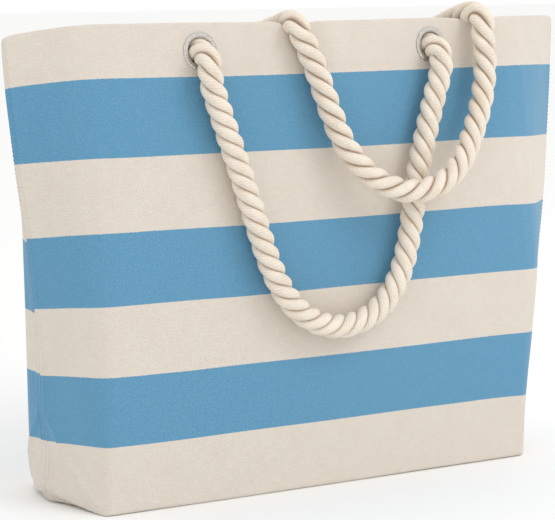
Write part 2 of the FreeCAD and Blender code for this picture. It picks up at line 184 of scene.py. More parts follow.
@dataclass(frozen=True)
class CanvasFinish:
    """Unbleached plain-weave cotton canvas, natural or printed with stripes across its height.

    Loom-state cotton is matt with a soft sheen, and thick places in its threads make short streaks.
    The print sits on the threads' tops, so it is rubbed paler there and its edges follow the weave.
    """

    name: str
    cream: str = "#ded6cb"
    slub: str = "#d6ccbf"
    print_colour: str = "#5d94b5"
    print_worn: str = "#78a8c4"
    edges: tuple[float, ...] = ()
    thread: float = 0.9 * MM  # drawn coarser than the real 0.6 mm, so that the weave shows
    print_edge: float = 0.25 * MM

    def weave(self, finish: Finish, cloth: Socket) -> tuple[Socket, Socket]:
        """The crossing threads: the product of two sine waves, and noise drawn out along each way.

        Thick places run 8 to 15 mm along a thread and are one thread wide.

        Args:
            finish: the material under construction.
            cloth: socket of the cloth coordinates, in metres.

        Returns:
            A height for the bump and the shade of single threads.
        """
        add = finish.node
        parts = add("SeparateXYZ", cloth).node.outputs
        turns = [add("Math", part, math.pi / self.thread, operation="MULTIPLY") for part in parts[:2]]
        waves = [add("Math", turn, operation="SINE") for turn in turns]
        over_under = add("Math", *waves, operation="MULTIPLY")
        slubs = []
        for scale, detail in (((110, 1100, 1), 3.0), ((900, 120, 1), 2.0)):
            drawn = add("Mapping", cloth, named={"Scale": scale})
            noise = {"Vector": drawn, "Scale": 1.0, "Detail": detail, "Roughness": 0.6}
            slubs.append(add("TexNoise", named=noise))
        warp = add("Math", slubs[1], 0.4, operation="MULTIPLY")
        threads = add("Math", slubs[0], 0.6, warp, operation="MULTIPLY_ADD")
        return add("Math", over_under, 0.25, threads, operation="MULTIPLY_ADD"), threads

    def printed(self, finish: Finish, cloth: Socket, fleck: Socket) -> Socket:
        """Where the print lies: 1 between each pair of edges, which wander by up to half a thread.

        Args:
            finish: the material under construction.
            cloth: socket of the cloth coordinates, in metres.
            fleck: socket of the fine noise that the edges follow.

        Returns:
            The share of print, from 0 to 1.
        """
        add, soft = finish.node, self.print_edge
        up = add("SeparateXYZ", cloth, out=1)
        from_middle = add("Math", fleck, 0.5, operation="SUBTRACT")
        line = add("Math", from_middle, self.thread, up, operation="MULTIPLY_ADD")
        inside = 0.0
        for low, high in zip(self.edges[::2], self.edges[1::2]):
            above = add("MapRange", line, low - soft, low + soft, 0.0, 1.0, **EASED)
            below = add("MapRange", line, high - soft, high + soft, 1.0, 0.0, **EASED)
            inside = add("Math", above, below, inside, operation="MULTIPLY_ADD")
        return inside

    def build(self) -> Material:
        """Make the material."""
        finish = Finish(self.name)
        add = finish.node
        cloth = add("UVMap", uv_map="cloth")
        height, threads = self.weave(finish, cloth)
        mottle = add("TexNoise", named={"Vector": cloth, "Scale": 38.0, "Detail": 4.0, "Roughness": 0.55})
        fleck = add("TexNoise", named={"Vector": cloth, "Scale": 620.0, "Detail": 2.0, "Roughness": 0.7})
        most = add("Math", threads, 0.8, operation="MULTIPLY")
        shade = add("Math", mottle, 0.2, most, operation="MULTIPLY_ADD")
        pale = add("MapRange", shade, 0.34, 0.66, 0.0, 1.0, **EASED)
        colour = add("Mix", named={0: pale, 6: linear(self.slub), 7: linear(self.cream)}, **COLOURS)
        if self.edges:
            some = add("Math", threads, 0.4, operation="MULTIPLY")
            rubbed = add("Math", fleck, 0.6, some, operation="MULTIPLY_ADD")
            worn = add("MapRange", rubbed, 0.44, 0.72, 0.0, 0.75, **EASED)
            inks = {0: worn, 6: linear(self.print_colour), 7: linear(self.print_worn)}
            ink = add("Mix", named=inks, **COLOURS)
            colour = add("Mix", named={0: self.printed(finish, cloth, fleck), 6: colour, 7: ink}, **COLOURS)
        roughness = add("MapRange", mottle, 0.3, 0.7, 0.86, 0.97, **EASED)
        return finish.surface(
            height, 0.35 * MM, Base_Color=colour, Roughness=roughness, Specular_IOR_Level=0.18,
            Sheen_Weight=0.25, Sheen_Roughness=0.5,
        )


@dataclass(frozen=True)
class RopeFinish:
    """Unbleached cotton yarns twisted into strands and laid into rope.

    It is matt and a little fuzzy: fine ridges run along each strand, and the shade between strands is painted
    into its colour.
    """

    name: str = "twisted_cotton"
    light: str = "#f3eadd"
    dark: str = "#dccab4"
    # painted shade: the colour painted where strands meet and shade falls between them
    groove: str = "#a98d71"
    yarns: float = 9.0  # ridges round a strand, drawn coarser than its 20 or so real yarns
    yarn_turn: float = 0.03

    def build(self) -> Material:
        """Make the material; the UV map holds metres along a strand and turns round it."""
        finish = Finish(self.name)
        add = finish.node
        parts = add("SeparateXYZ", add("UVMap", uv_map="strand")).node.outputs
        turned = add("Math", parts[0], 1 / self.yarn_turn, parts[1], operation="MULTIPLY_ADD")
        place = add("TexCoord", out="Object")
        fibre = add("TexNoise", named={"Vector": place, "Scale": 900.0, "Detail": 4.0, "Roughness": 0.65})
        blotch = add("TexNoise", named={"Vector": place, "Scale": 70.0, "Detail": 3.0, "Roughness": 0.5})
        waver = add("Math", fibre, 0.12, turned, operation="MULTIPLY_ADD")
        swing = add("Math", waver, TAU * self.yarns, operation="MULTIPLY")
        wave = add("Math", swing, operation="SINE")
        round_yarn = add("Math", wave, 0.5, 0.5, operation="MULTIPLY_ADD")
        ridge = add("Math", round_yarn, 0.45, operation="POWER")
        height = add("Math", fibre, 1.1, ridge, operation="MULTIPLY_ADD")
        half = add("Math", fibre, 0.5, operation="MULTIPLY")
        # Painted shade: the yarn ridges' height, which also drives the bump, lightens the colour on their
        # tops and darkens it between yarns; the fibre and blotch noise are the yarn's own uneven tone.
        tone = add("Math", ridge, 0.16, half, operation="MULTIPLY_ADD")
        tone = add("Math", blotch, 0.45, tone, operation="MULTIPLY_ADD")
        pale = add("MapRange", tone, 0.28, 0.78, 0.0, 1.0, **EASED)
        colour = add("Mix", named={0: pale, 6: linear(self.dark), 7: linear(self.light)}, **COLOURS)
        # Painted shade: each strand's sides that turn towards its neighbours are darkened towards the groove
        # colour, where shade falls between strands.
        turn = add("Math", parts[1], TAU, operation="MULTIPLY")
        facing = add("Math", turn, operation="COSINE")
        buried = add("MapRange", facing, -0.3, 0.62, 0.8, 0.0, **EASED)
        colour = add("Mix", named={0: buried, 6: colour, 7: linear(self.groove)}, **COLOURS)
        return finish.surface(
            height, 0.14 * MM, Base_Color=colour, Roughness=0.92, Specular_IOR_Level=0.15,
            Sheen_Weight=0.2, Sheen_Roughness=0.45,
        )


@dataclass(frozen=True)
class MetalFinish:
    """Nickel plate over stamped brass: bright, with fine scratches and duller where it was handled."""

    name: str = "nickel_plate"
    bright: str = "#dedcd8"
    dull: str = "#b9b5ae"

    def build(self) -> Material:
        """Make the material."""
        finish = Finish(self.name)
        add = finish.node
        place = add("TexCoord", out="Object")
        haze = add("TexNoise", named={"Vector": place, "Scale": 900.0, "Detail": 3.0, "Roughness": 0.5})
        drawn = add("Mapping", place, named={"Scale": (300, 300, 4200)})
        scratch = add("TexNoise", named={"Vector": drawn, "Scale": 1.0, "Detail": 3.0, "Roughness": 0.6})
        touched = add("MapRange", haze, 0.3, 0.75, 0.0, 1.0, **EASED)
        colour = add("Mix", named={0: touched, 6: linear(self.bright), 7: linear(self.dull)}, **COLOURS)
        roughness = add("MapRange", scratch, 0.25, 0.75, 0.16, 0.34, **EASED)
        return finish.surface(scratch, 0.02 * MM, Base_Color=colour, Roughness=roughness, Metallic=1.0)


@dataclass(frozen=True)
class ThreadFinish:
    """Waxed cotton twine: plies wound slantwise, their tops painted lighter as a painted highlight and the
    hollows between them painted darker as painted shade.
    """

    name: str
    light: str = "#efe7d9"
    dark: str = "#c3b49c"

    def build(self) -> Material:
        """Make the material."""
        finish = Finish(self.name)
        add = finish.node
        place = add("TexCoord", out="Object")
        fibre = add("TexNoise", named={"Vector": place, "Scale": 1800.0, "Detail": 3.0, "Roughness": 0.6})
        twist = {"Vector": place, "Scale": 260.0, "Distortion": 3.0, "Detail": 2.0, "Detail Scale": 1.5}
        ply = add("TexWave", named=twist, out=1, bands_direction="DIAGONAL")
        half = add("Math", fibre, 0.5, operation="MULTIPLY")
        # Painted highlight and shade: the ply wave, which also drives the bump, makes each ply's top lighter
        # and its hollows darker; the fibre noise is the twine's own uneven tone.
        shade = add("Math", ply, 0.5, half, operation="MULTIPLY_ADD")
        colour = add("Mix", named={0: shade, 6: linear(self.dark), 7: linear(self.light)}, **COLOURS)
        return finish.surface(
            shade, 0.15 * MM, Base_Color=colour, Roughness=0.85, Sheen_Weight=0.2, Specular_IOR_Level=0.2
        )


@dataclass(frozen=True)
class FloorFinish:
    """Matt painted studio board, all but white, with the faintest unevenness."""

    name: str = "studio_floor"
    pale: str = "#fbfbfa"
    dim: str = "#f7f7f6"

    def build(self) -> Material:
        """Make the material."""
        finish = Finish(self.name)
        place = finish.node("TexCoord", out="Object")
        noise = {"Vector": place, "Scale": 1.3, "Detail": 2.0, "Roughness": 0.5}
        cloud = finish.node("TexNoise", named=noise)
        colour = finish.node("Mix", named={0: cloud, 6: linear(self.pale), 7: linear(self.dim)}, **COLOURS)
        return finish.surface(Base_Color=colour, Roughness=0.75, Specular_IOR_Level=0.1)


# ---- mesh helpers
def make_mesh(
    name: str,
    points: Array,
    faces: Sequence,
    materials: Sequence[Material],
    slots: Array | None = None,
    maps: dict[str, Array] | None = None,
    sharp_degrees: float = 60.0,
) -> Object:
    """Make a smooth-shaded mesh object at the origin.

    Args:
        name: the piece's name.
        points: (n, 3) positions.
        faces: vertex indices of each face, wound so that normals point outwards.
        materials: the mesh's material slots.
        slots: one slot number for each face.
        maps: UV map name to one (u, v) for each vertex.
        sharp_degrees: edges that fold more than this stay crisp.

    Returns:
        The object, linked to the scene.
    """
    mesh = bpy.data.meshes.new(name)
    mesh.from_pydata(np.asarray(points, float).tolist(), [], [tuple(map(int, f)) for f in faces])
    for material in materials:
        mesh.materials.append(material)
    if slots is not None:
        mesh.polygons.foreach_set("material_index", np.asarray(slots, np.int32))
    corner = np.zeros(len(mesh.loops), np.int32)
    mesh.loops.foreach_get("vertex_index", corner)
    for label, values in (maps or {}).items():
        layer = mesh.uv_layers.new(name=label)
        layer.data.foreach_set("uv", np.asarray(values, np.float32)[corner].ravel())
    mesh.polygons.foreach_set("use_smooth", np.ones(len(mesh.polygons), bool))
    mesh.update()
    mesh.set_sharp_from_angle(angle=math.radians(sharp_degrees))
    return add_object(name, mesh)


def add_object(name: str, data: bpy.types.ID) -> Object:
    """Make an object of a mesh, camera or light and link it to the scene."""
    obj = bpy.data.objects.new(name, data)
    bpy.context.scene.collection.objects.link(obj)
    return obj


def aimed(place: Point, aim: Point) -> Matrix:
    """World matrix of a camera or lamp at a place, looking at its aim."""
    look = (Vector(aim) - Vector(place)).to_track_quat("-Z", "Y").to_matrix().to_4x4()
    return Matrix.Translation(Vector(place)) @ look


def settle(piece: Object, slot: str, *stands_for: str) -> None:
    """Let a piece ride on the bag in place of CAD nodes."""
    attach(piece, "bag")
    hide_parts(*stands_for)


def grid_faces(rows: int, columns: int, closed: bool = False, start: int = 0) -> Array:
    """Quads of a rows x columns grid of points; with closed, each row runs round to its own start.

    Args:
        rows, columns: size of the grid of points.
        closed: whether each row runs round to its own start.
        start: index of the grid's first point.

    Returns:
        (n, 4) vertex indices.
    """
    last = columns if closed else columns - 1
    row, column = np.meshgrid(np.arange(rows - 1) * columns, np.arange(last), indexing="ij")
    right, above = (column + 1) % columns, row + columns
    quads = [row + column, row + right, above + right, above + column]
    return start + np.stack(quads, axis=-1).reshape(-1, 4)


def tube_faces(rings: int, sides: int, start: int = 0) -> list:
    """Faces of a tube of rings, with both ends closed."""
    first, last = (start + place * sides + np.arange(sides) for place in (0, rings - 1))
    return [*grid_faces(rings, sides, True, start).tolist(), first[::-1].tolist(), last.tolist()]


def turned_out(points: Array, faces: list, side: Side) -> tuple[Array, list]:
    """Give front-panel geometry its own side: the back is mirrored, the front's faces are reversed.

    Args:
        points: (n, 3) points of a front panel's piece.
        faces: its faces, wound inwards.
        side: the side that the piece is for.

    Returns:
        Points and faces, wound outwards.
    """
    if side is Side.BACK:
        return points * np.array([1, -1, 1]), faces
    return points, [face[::-1] for face in faces]


def unit(vectors: Array) -> Array:
    """Vectors brought to length 1."""
    return vectors / np.maximum(np.linalg.norm(vectors, axis=-1, keepdims=True), 1e-9)


def run_length(line: Array) -> Array:
    """Distance along a line at each of its points."""
    return np.concatenate([[0], np.cumsum(np.linalg.norm(np.diff(line, axis=0), axis=1))])


def bell(distance: Array, width: float) -> Array:
    """A hump that is 1 in the middle and fades over a width."""
    return np.exp(-((distance / width) ** 2))


def ring_angles(sides: int, first: float = 0.0) -> Array:
    """Evenly spaced angles once round, from a first one."""
    return np.linspace(first, first + TAU, sides, endpoint=False)


def hermite(share: Array, low: Array, high: Array, low_slope: Array, high_slope: Array) -> Array:
    """Cubic between two values with given slopes per whole step.

    Args:
        share: place between the two values, from 0 to 1.
        low, high: the values.
        low_slope, high_slope: slopes there, per whole step.

    Returns:
        The cubic's values.
    """
    square, cube = share * share, share * share * share
    ends = low * (2 * cube - 3 * square + 1) + high * (3 * square - 2 * cube)
    return ends + low_slope * (cube - 2 * square + share) + high_slope * (cube - square)


def eased(share: Array) -> Array:
    """Smooth step from 0 to 1."""
    share = np.clip(share, 0, 1)
    return share * share * (3 - 2 * share)


def surface_value(across: Array, up: Array, columns: Sequence, rows: Sequence, table: Sequence) -> Array:
    """Smooth surface through a table of values.

    Args:
        across, up: where to read it.
        columns, rows: places of the table's columns and rows.
        table: one row of values for each place up.

    Returns:
        The values, by cubic pieces first across and then up.
    """
    columns, rows, table = (np.array(values, float) for values in (columns, rows, table))
    across, up = np.clip(across, columns[0], columns[-1]), np.clip(up, rows[0], rows[-1])
    at = np.clip(np.searchsorted(columns, across, "right") - 1, 0, len(columns) - 2)
    width = np.diff(columns)[at]
    slopes = np.gradient(table, columns, axis=1)
    share = (across - columns[at]) / width
    lines = hermite(share, table[:, at], table[:, at + 1], slopes[:, at] * width, slopes[:, at + 1] * width)
    row = np.clip(np.searchsorted(rows, up, "right") - 1, 0, len(rows) - 2)
    height = np.diff(rows)[row]
    steep = np.gradient(lines, rows, axis=0)

    def pick(stack: Array, index: Array) -> Array:
        """The value of each place's own row."""
        return np.take_along_axis(stack, index[None], axis=0)[0]

    share = (up - rows[row]) / height
    slopes = pick(steep, row) * height, pick(steep, row + 1) * height
    return hermite(share, pick(lines, row), pick(lines, row + 1), *slopes)


def frames_along(line: Array) -> tuple[Array, Array, Array]:
    """Tangents and two untwisting normals at each point of a line that doesn't start upright.

    Args:
        line: (n, 3) points.

    Returns:
        Tangents and the two normals, (n, 3) each.
    """
    tangents = unit(np.gradient(line, axis=0))
    normals = np.zeros_like(line)
    normals[0] = unit(np.cross(tangents[0], np.cross((0.0, 0.0, 1.0), tangents[0])))
    for i in range(1, len(line)):
        normals[i] = unit(normals[i - 1] - tangents[i] * np.dot(normals[i - 1], tangents[i]))
    return tangents, normals, np.cross(tangents, normals)


def spline_points(name: str, control: Sequence[Point], step: float) -> Array:
    """Evenly spaced points of the smooth NURBS spline that a route's points control.

    Args:
        name: a name for the curve.
        control: the route, in metres.
        step: the spacing of the points that come back.

    Returns:
        (n, 3) points from the route's first point to its last.
    """
    curve = bpy.data.curves.new(name, "CURVE")
    curve.dimensions = "3D"
    curve.resolution_u = 24
    spline = curve.splines.new("NURBS")
    spline.points.add(len(control) - 1)
    for point, place in zip(spline.points, control):
        point.co = (*place, 1.0)
    spline.order_u = 3
    spline.use_endpoint_u = True
    holder = bpy.data.objects.new(name, curve)
    mesh = bpy.data.meshes.new_from_object(holder)
    line = np.array([v.co for v in mesh.vertices], float)
    bpy.data.objects.remove(holder)
    bpy.data.curves.remove(curve)
    bpy.data.meshes.remove(mesh)
    along = run_length(line)
    at = np.linspace(0, along[-1], max(2, round(along[-1] / step) + 1))
    return np.stack([np.interp(at, along, line[:, k]) for k in range(3)], axis=1)


# ---- camera and light
@dataclass
class Studio:
    """Camera, soft light and pale floor."""

    eye: Point = (-1.0693, -1.6103, 0.4807)
    aim: Point = (-0.0115, 0.0, 0.1755)
    lens_mm: float = 155.7
    roll_degrees: float = 0.95
    key_watts: float = 9.0
    fill_watts: float = 0.4
    sky: float = 1.0
    floor_half: float = 6.0
    floor_points: int = 41

    def camera(self) -> None:
        """Place the camera and make it the scene's own."""
        data = bpy.data.cameras.new("camera")
        data.sensor_width = 36.0
        data.lens = self.lens_mm
        data.clip_end = 50
        camera = add_object("camera", data)
        roll = Matrix.Rotation(math.radians(self.roll_degrees), 4, "Z")
        camera.matrix_world = aimed(self.eye, self.aim) @ roll
        bpy.context.scene.camera = camera

    def light(self, name: str, place: Point, size: float, watts: float) -> None:
        """Add one square soft light, aimed at the middle of the bag.

        Args:
            name: the lamp's name.
            place: where it stands.
            size: its side, in metres.
            watts: its power.
        """
        data = bpy.data.lights.new(name, "AREA")
        data.size = size
        data.energy = watts
        add_object(name, data).matrix_world = aimed(place, (0.0, 0.0, 0.2))

    def build(self) -> None:
        """Lights, sky and floor."""
        scene = bpy.context.scene
        scene.view_settings.view_transform = "Standard"
        world = bpy.data.worlds.new("studio")
        world.use_nodes = True
        background = world.node_tree.nodes["Background"]
        background.inputs[0].default_value = (1, 1, 1, 1)
        background.inputs[1].default_value = self.sky
        scene.world = world
        self.light("key_light", (0.75, -1.35, 1.75), 0.9, self.key_watts)
        self.light("fill_light", (-2.1, -0.9, 1.0), 1.6, self.fill_watts)
        axis = np.linspace(-self.floor_half, self.floor_half, self.floor_points)
        x, y = np.meshgrid(axis, axis, indexing="ij")
        points = np.stack([x, y, np.full_like(x, -0.2 * MM)], axis=-1).reshape(-1, 3)
        faces = grid_faces(self.floor_points, self.floor_points)[:, ::-1]
        make_mesh("floor", points, faces, [FloorFinish().build()])


# ---- the sewn bag
@dataclass(frozen=True)
class BagForm:
    """Shape of the standing bag over cloth coordinates.

    The coordinates are metres of cloth: across, from the middle of a panel out to its side seam, and
    up, from the bottom edge (negative under the base).
    """

    crease: float = 202 * MM
    gusset: float = 68 * MM
    height: float = 372 * MM
    base_depth: float = 61 * MM
    mouth_depth: float = 28 * MM
    mouth_bulge: float = 8 * MM
    base_bulge: float = 0.5 * MM
    back_sag: float = 12 * MM
    eyelet_x: float = 110 * MM
    eyelet_z: dict = field(default_factory=lambda: {Side.FRONT: 350 * MM, Side.BACK: 342 * MM})
    eyelet_up: float = 352 * MM
    hem_line: float = 335 * MM
    swell: float = 1.4 * MM
    rim_pucker: float = 0.8 * MM
    gusset_crest: float = 1.7 * MM
    hem_groove: float = 0.45 * MM
    table_up: tuple = (0.0, 0.0535, 0.105, 0.1588, 0.2148, 0.273, 0.3335, 0.372)
    full_right: tuple = (1.0, 3.0, 9.0, 15.0, 15.5, 12.5, 9.0, 6.0)
    full_left: tuple = (3.0, 6.0, 9.0, 9.0, 7.5, 3.0, 0.0, 0.0)
    drop_across: tuple = (-0.27, -0.205, -0.165, -0.13, -0.08, 0.0, 0.08, 0.12, 0.18, 0.205, 0.27)
    drops: tuple = (
        (0, 0, 0, 0, 0, 0, 0, 0, 0, 0, 0),
        (3.9, 0.2, 0.5, 0.6, 0.2, 0, -0.2, 0, 0.3, 1.3, 4.2),
        (4.6, -0.2, 0, 0.3, 0, 0, 0, -0.2, -0.1, 0.6, 3.5),
        (6.3, 0.3, -0.3, -0.3, 0.3, 0, -0.2, -0.1, 0.6, 1.4, 4.8),
        (6.8, 0.1, -0.5, -0.4, 0, 0.2, 0, -0.1, 0.4, 1.7, 5.1),
        (5.9, 0.1, -0.3, -0.4, -0.3, 0.1, 0.3, 0.1, 0.2, 1.2, 5.0),
        (7.0, -0.3, -0.7, -0.5, 0, 0.1, 0, 0, 0, 0.4, 3.3),
        (10.1, 0.9, 0.1, 0, 0.4, 0.8, 0.4, 0.2, 0.3, 0.9, 2.7),
    )

    @property
    def seam(self) -> float:
        """Cloth distance from the middle of a panel to its side seam."""
        return self.crease + self.gusset

    def depth(self, up: Array) -> Array:
        """Half depth of the bag at its corner creases."""
        share = np.clip(up / self.height, 0, 1)
        return self.base_depth - (self.base_depth - self.mouth_depth) * (0.82 * share**2 + 0.18 * share)

    def sharp(self, across: Array, up: Array) -> Array:
        """The front with knife-edged folds: flat gussets, a bowed front and a flat base.

        Args:
            across, up: cloth coordinates, in metres.

        Returns:
            Points, one for each coordinate.
        """
        wall = np.clip(up, 0, None)
        depth = self.depth(wall)
        share = np.clip(wall / self.height, 0, 1)
        bulge = self.base_bulge + (self.mouth_bulge - self.base_bulge) * share
        distance = np.abs(across)
        past = distance > self.seam
        distance = np.where(past, 2 * self.seam - distance, distance)
        fold = np.clip((distance - self.crease) / self.gusset, 0, 1)
        x = np.minimum(distance, self.crease) + fold * np.sqrt(self.gusset**2 - depth**2)
        y = -np.where(fold > 0, depth * (1 - fold), depth + bulge * (1 - (distance / self.crease) ** 2))
        end_x = np.where(fold > 0, self.crease + fold * 16 * MM, x)
        gone = np.clip(-up / (62 * MM), 0, 1)
        x = x + (end_x - x) * gone
        y = np.where(past, -y, y) * (1 - gone)
        return np.stack([np.sign(across) * x, y, wall], axis=-1)

    def rounded(self, across: Array, up: Array) -> Array:
        """The sharp form with its folds rounded, softly at the mouth and tighter at the base.

        Each point is the weighted mean of the sharp form over a small window of cloth.

        Args:
            across, up: cloth coordinates, in metres.

        Returns:
            Points, one for each coordinate.
        """
        share = np.clip(up / self.height, 0, 1)
        window = (5 + 40 * share**1.3) * MM
        window = np.minimum(window, (self.seam - np.abs(across)) * 0.8 + 7 * MM)
        near_seam = np.clip((np.abs(across) - self.crease) / self.gusset, 0, 1)
        base_window = (3.5 + 8.5 * near_seam**2) * MM
        total = np.zeros(np.shape(across) + (3,))
        steps = np.array([-1, -0.5, 0, 0.5, 1])
        weights = np.array([1, 3, 4, 3, 1]) / 12
        for step_a, weight_a in zip(steps, weights):
            for step_u, weight_u in zip(steps, weights):
                total += weight_a * weight_u * self.sharp(across + step_a * window, up + step_u * base_window)
        return total

    def droop(self, across: Array, up: Array, side: Side) -> Array:
        """How far cloth hangs below its own height, from the table; the back sags further.

        Args:
            across, up: cloth coordinates, in metres.
            side: which panel.

        Returns:
            The fall, in metres.
        """
        fall = surface_value(across, up, self.drop_across, self.table_up, self.drops) * MM
        if side is Side.BACK:
            share = np.clip(up / self.height, 0, 1)
            outward = np.clip((np.abs(across) - 60 * MM) / (self.seam - 60 * MM), 0, 1)
            fall = fall + self.back_sag * share**1.5 * (1 - outward**3)
        return fall

    def fullness(self, across: Array, up: Array, side: Side) -> Array:
        """How far right the cloth lies of the even form, from the tables.

        The right end stands out; at the left end the seam is drawn in while the gusset behind it
        stays full.

        Args:
            across, up: cloth coordinates, in metres.
            side: which panel.

        Returns:
            The move to the right, in metres.
        """
        table = np.stack([self.full_left, self.full_right, self.full_right], axis=1)
        left, right = (
            surface_value(np.full_like(across, column), up, (0.0, 1.0, 2.0), self.table_up, table) * MM
            for column in (0.0, 1.0)
        )
        narrow = 24 * MM if side is Side.BACK else 62 * MM
        moved = right * eased((across - 122 * MM) / (88 * MM))
        moved = moved + left * eased((-across - self.seam + narrow) / narrow)
        if side is Side.BACK:
            moved = moved - 3.5 * MM * bell(across + 236 * MM, 20 * MM) * np.clip(left / (4 * MM), 0, 1)
        return moved

    def ridge(self, out: Array) -> Array:
        """Height of the slanting ridge of a boxed corner, by the distance past the crease."""
        return 0.62 * out + 9.5 * np.clip(out, 0, None) ** 2

    def lean(self, across: Array, up: Array) -> Array:
        """How far the gusset's foot leans in: a soft ramp below the ridge, levelling off at 4.2 mm."""
        out = np.abs(across) - self.crease
        soft = 4 * MM * np.log1p(np.exp(np.clip((self.ridge(out) - up) / (4 * MM), -30, 12)))
        amount = 4.2 * MM * np.tanh(0.17 * soft / (4.2 * MM)) * np.clip(out / (10 * MM), 0, 1)
        return amount * (1 - eased((up - 60 * MM) / (30 * MM))) * (1 - eased(-up / (40 * MM)))

    def lift(self, across: Array, up: Array) -> Array:
        """How far the bottom edge rises towards the seams, where the base corners fold under."""
        outward = np.clip((np.abs(across) - 206 * MM) / (64 * MM), 0, 1) ** 1.4
        return 10 * MM * outward * np.where(up > 0, 1 - eased(up / (62 * MM)), 1 - eased(-up / (55 * MM)))

    def dents(self, across: Array, up: Array, side: Side) -> Array:
        """Small movements of the cloth along its own normal, outwards positive.

        Slow sine swells, a pucker along the rim, a groove at the hem's stitching, and a crest and a
        fainter fold over each gusset's foot. The swells and the pucker fade at seams and eyelets.

        Args:
            across, up: cloth coordinates, in metres.
            side: which panel.

        Returns:
            The move outwards, in metres.
        """
        share = np.clip(up / self.height, 0, 1)
        seed = 0.0 if side is Side.FRONT else 2.1
        slow = np.sin(across * 31 + 1.3 + seed) * np.sin(up * 24 + 0.7 * np.sin(across * 17 + seed))
        slow = slow + 0.6 * np.sin(across * 11 - up * 19 + 2.0 + seed)
        to_seam = self.seam - np.abs(across)
        own = 1 - bell(to_seam, 14 * MM)
        out = self.swell * slow * (0.25 + 0.75 * share) * own
        pucker = np.sin(across * TAU / 0.071 + 1.9 * np.sin(across * 23 + seed))
        pucker = pucker + 0.5 * np.sin(across * TAU / 0.032)
        out = out + self.rim_pucker * pucker * bell(self.height - up, 34 * MM) * own
        for hand in Hand:
            spot = np.hypot(across - hand.value * self.eyelet_x, up - self.eyelet_up)
            out = out * (1 - bell(spot, 24 * MM))
        out = out - self.hem_groove * bell(up - self.hem_line, 1.1 * MM)
        past = np.abs(across) - self.crease
        low = (1 - eased((up - 62 * MM) / (24 * MM))) * eased((up - 2 * MM) / (8 * MM))
        crest = np.clip(past / (10 * MM), 0, 1) * low * bell(self.ridge(past) - up, 5 * MM)
        second = bell(past - 48 * MM, 14 * MM) * bell(0.25 * past + 26 * MM - up, 3.5 * MM)
        beside_seam = 0.35 * MM * bell(to_seam - 5 * MM, 3 * MM) - 0.3 * MM * np.exp(-to_seam / (1.5 * MM))
        return out + self.gusset_crest * crest + 0.8 * MM * second + beside_seam

    def rim_press(self, across: Array, up: Array, side: Side) -> Array:
        """How far ropes lying over the rim press it down, fading out below it.

        Args:
            across, up: cloth coordinates, in metres.
            side: which panel.

        Returns:
            The fall, in metres.
        """
        places = {
            Side.FRONT: ((-23, 11, 10), (161, 6.2, 11), (154, 2, 24)),
            Side.BACK: ((0, 10, 16), (174, 13, 18)),
        }
        pressed = np.zeros_like(across)
        for place, depth, width in places[side]:
            pressed = pressed + depth * MM * bell(across / MM - place, width)
        fade = np.clip(1 - (self.height - up) / (30 * MM), 0, 1) ** 1.5
        return pressed * fade

    def eyelet_place(self, side: Side, hand: Hand) -> tuple[float, float]:
        """Cloth coordinates of an eyelet's middle, found by stepping to its place in the frame.

        Args:
            side, hand: which eyelet.

        Returns:
            Across and up.
        """
        x = hand.value * self.eyelet_x
        z = self.eyelet_z[side]
        across, up = x, z
        for _ in range(8):
            place = self.skin(np.array([across]), np.array([up]), side)[0]
            across, up = across + x - place[0], up + z - place[2]
        return float(across), float(up)

    def skin(self, across: Array, up: Array, side: Side) -> Array:
        """Outer face of the cloth before its own thickness and dents are added.

        Args:
            across, up: cloth coordinates, in metres.
            side: which panel.

        Returns:
            Points, one for each coordinate, as a front panel's.
        """
        base = self.rounded(across, up)
        base[..., 0] += self.fullness(across, up, side)
        lean, depth = self.lean(across, up), self.depth(np.clip(up, 0, None)) / self.gusset
        to_seam = self.seam - np.abs(across)
        near = bell(to_seam, 10 * MM)
        base[..., 0] -= np.sign(across) * lean * (depth * (1 - near) + near)
        base[..., 1] += lean * np.sqrt(1 - depth**2) * (1 - near)
        corner = 4 * MM * np.exp(-to_seam / (4 * MM)) * np.clip(up / self.height, 0, 1) ** 10
        base[..., 2] -= self.droop(across, up, side) + self.rim_press(across, up, side) + corner
        base[..., 2] += self.lift(across, up)
        return base


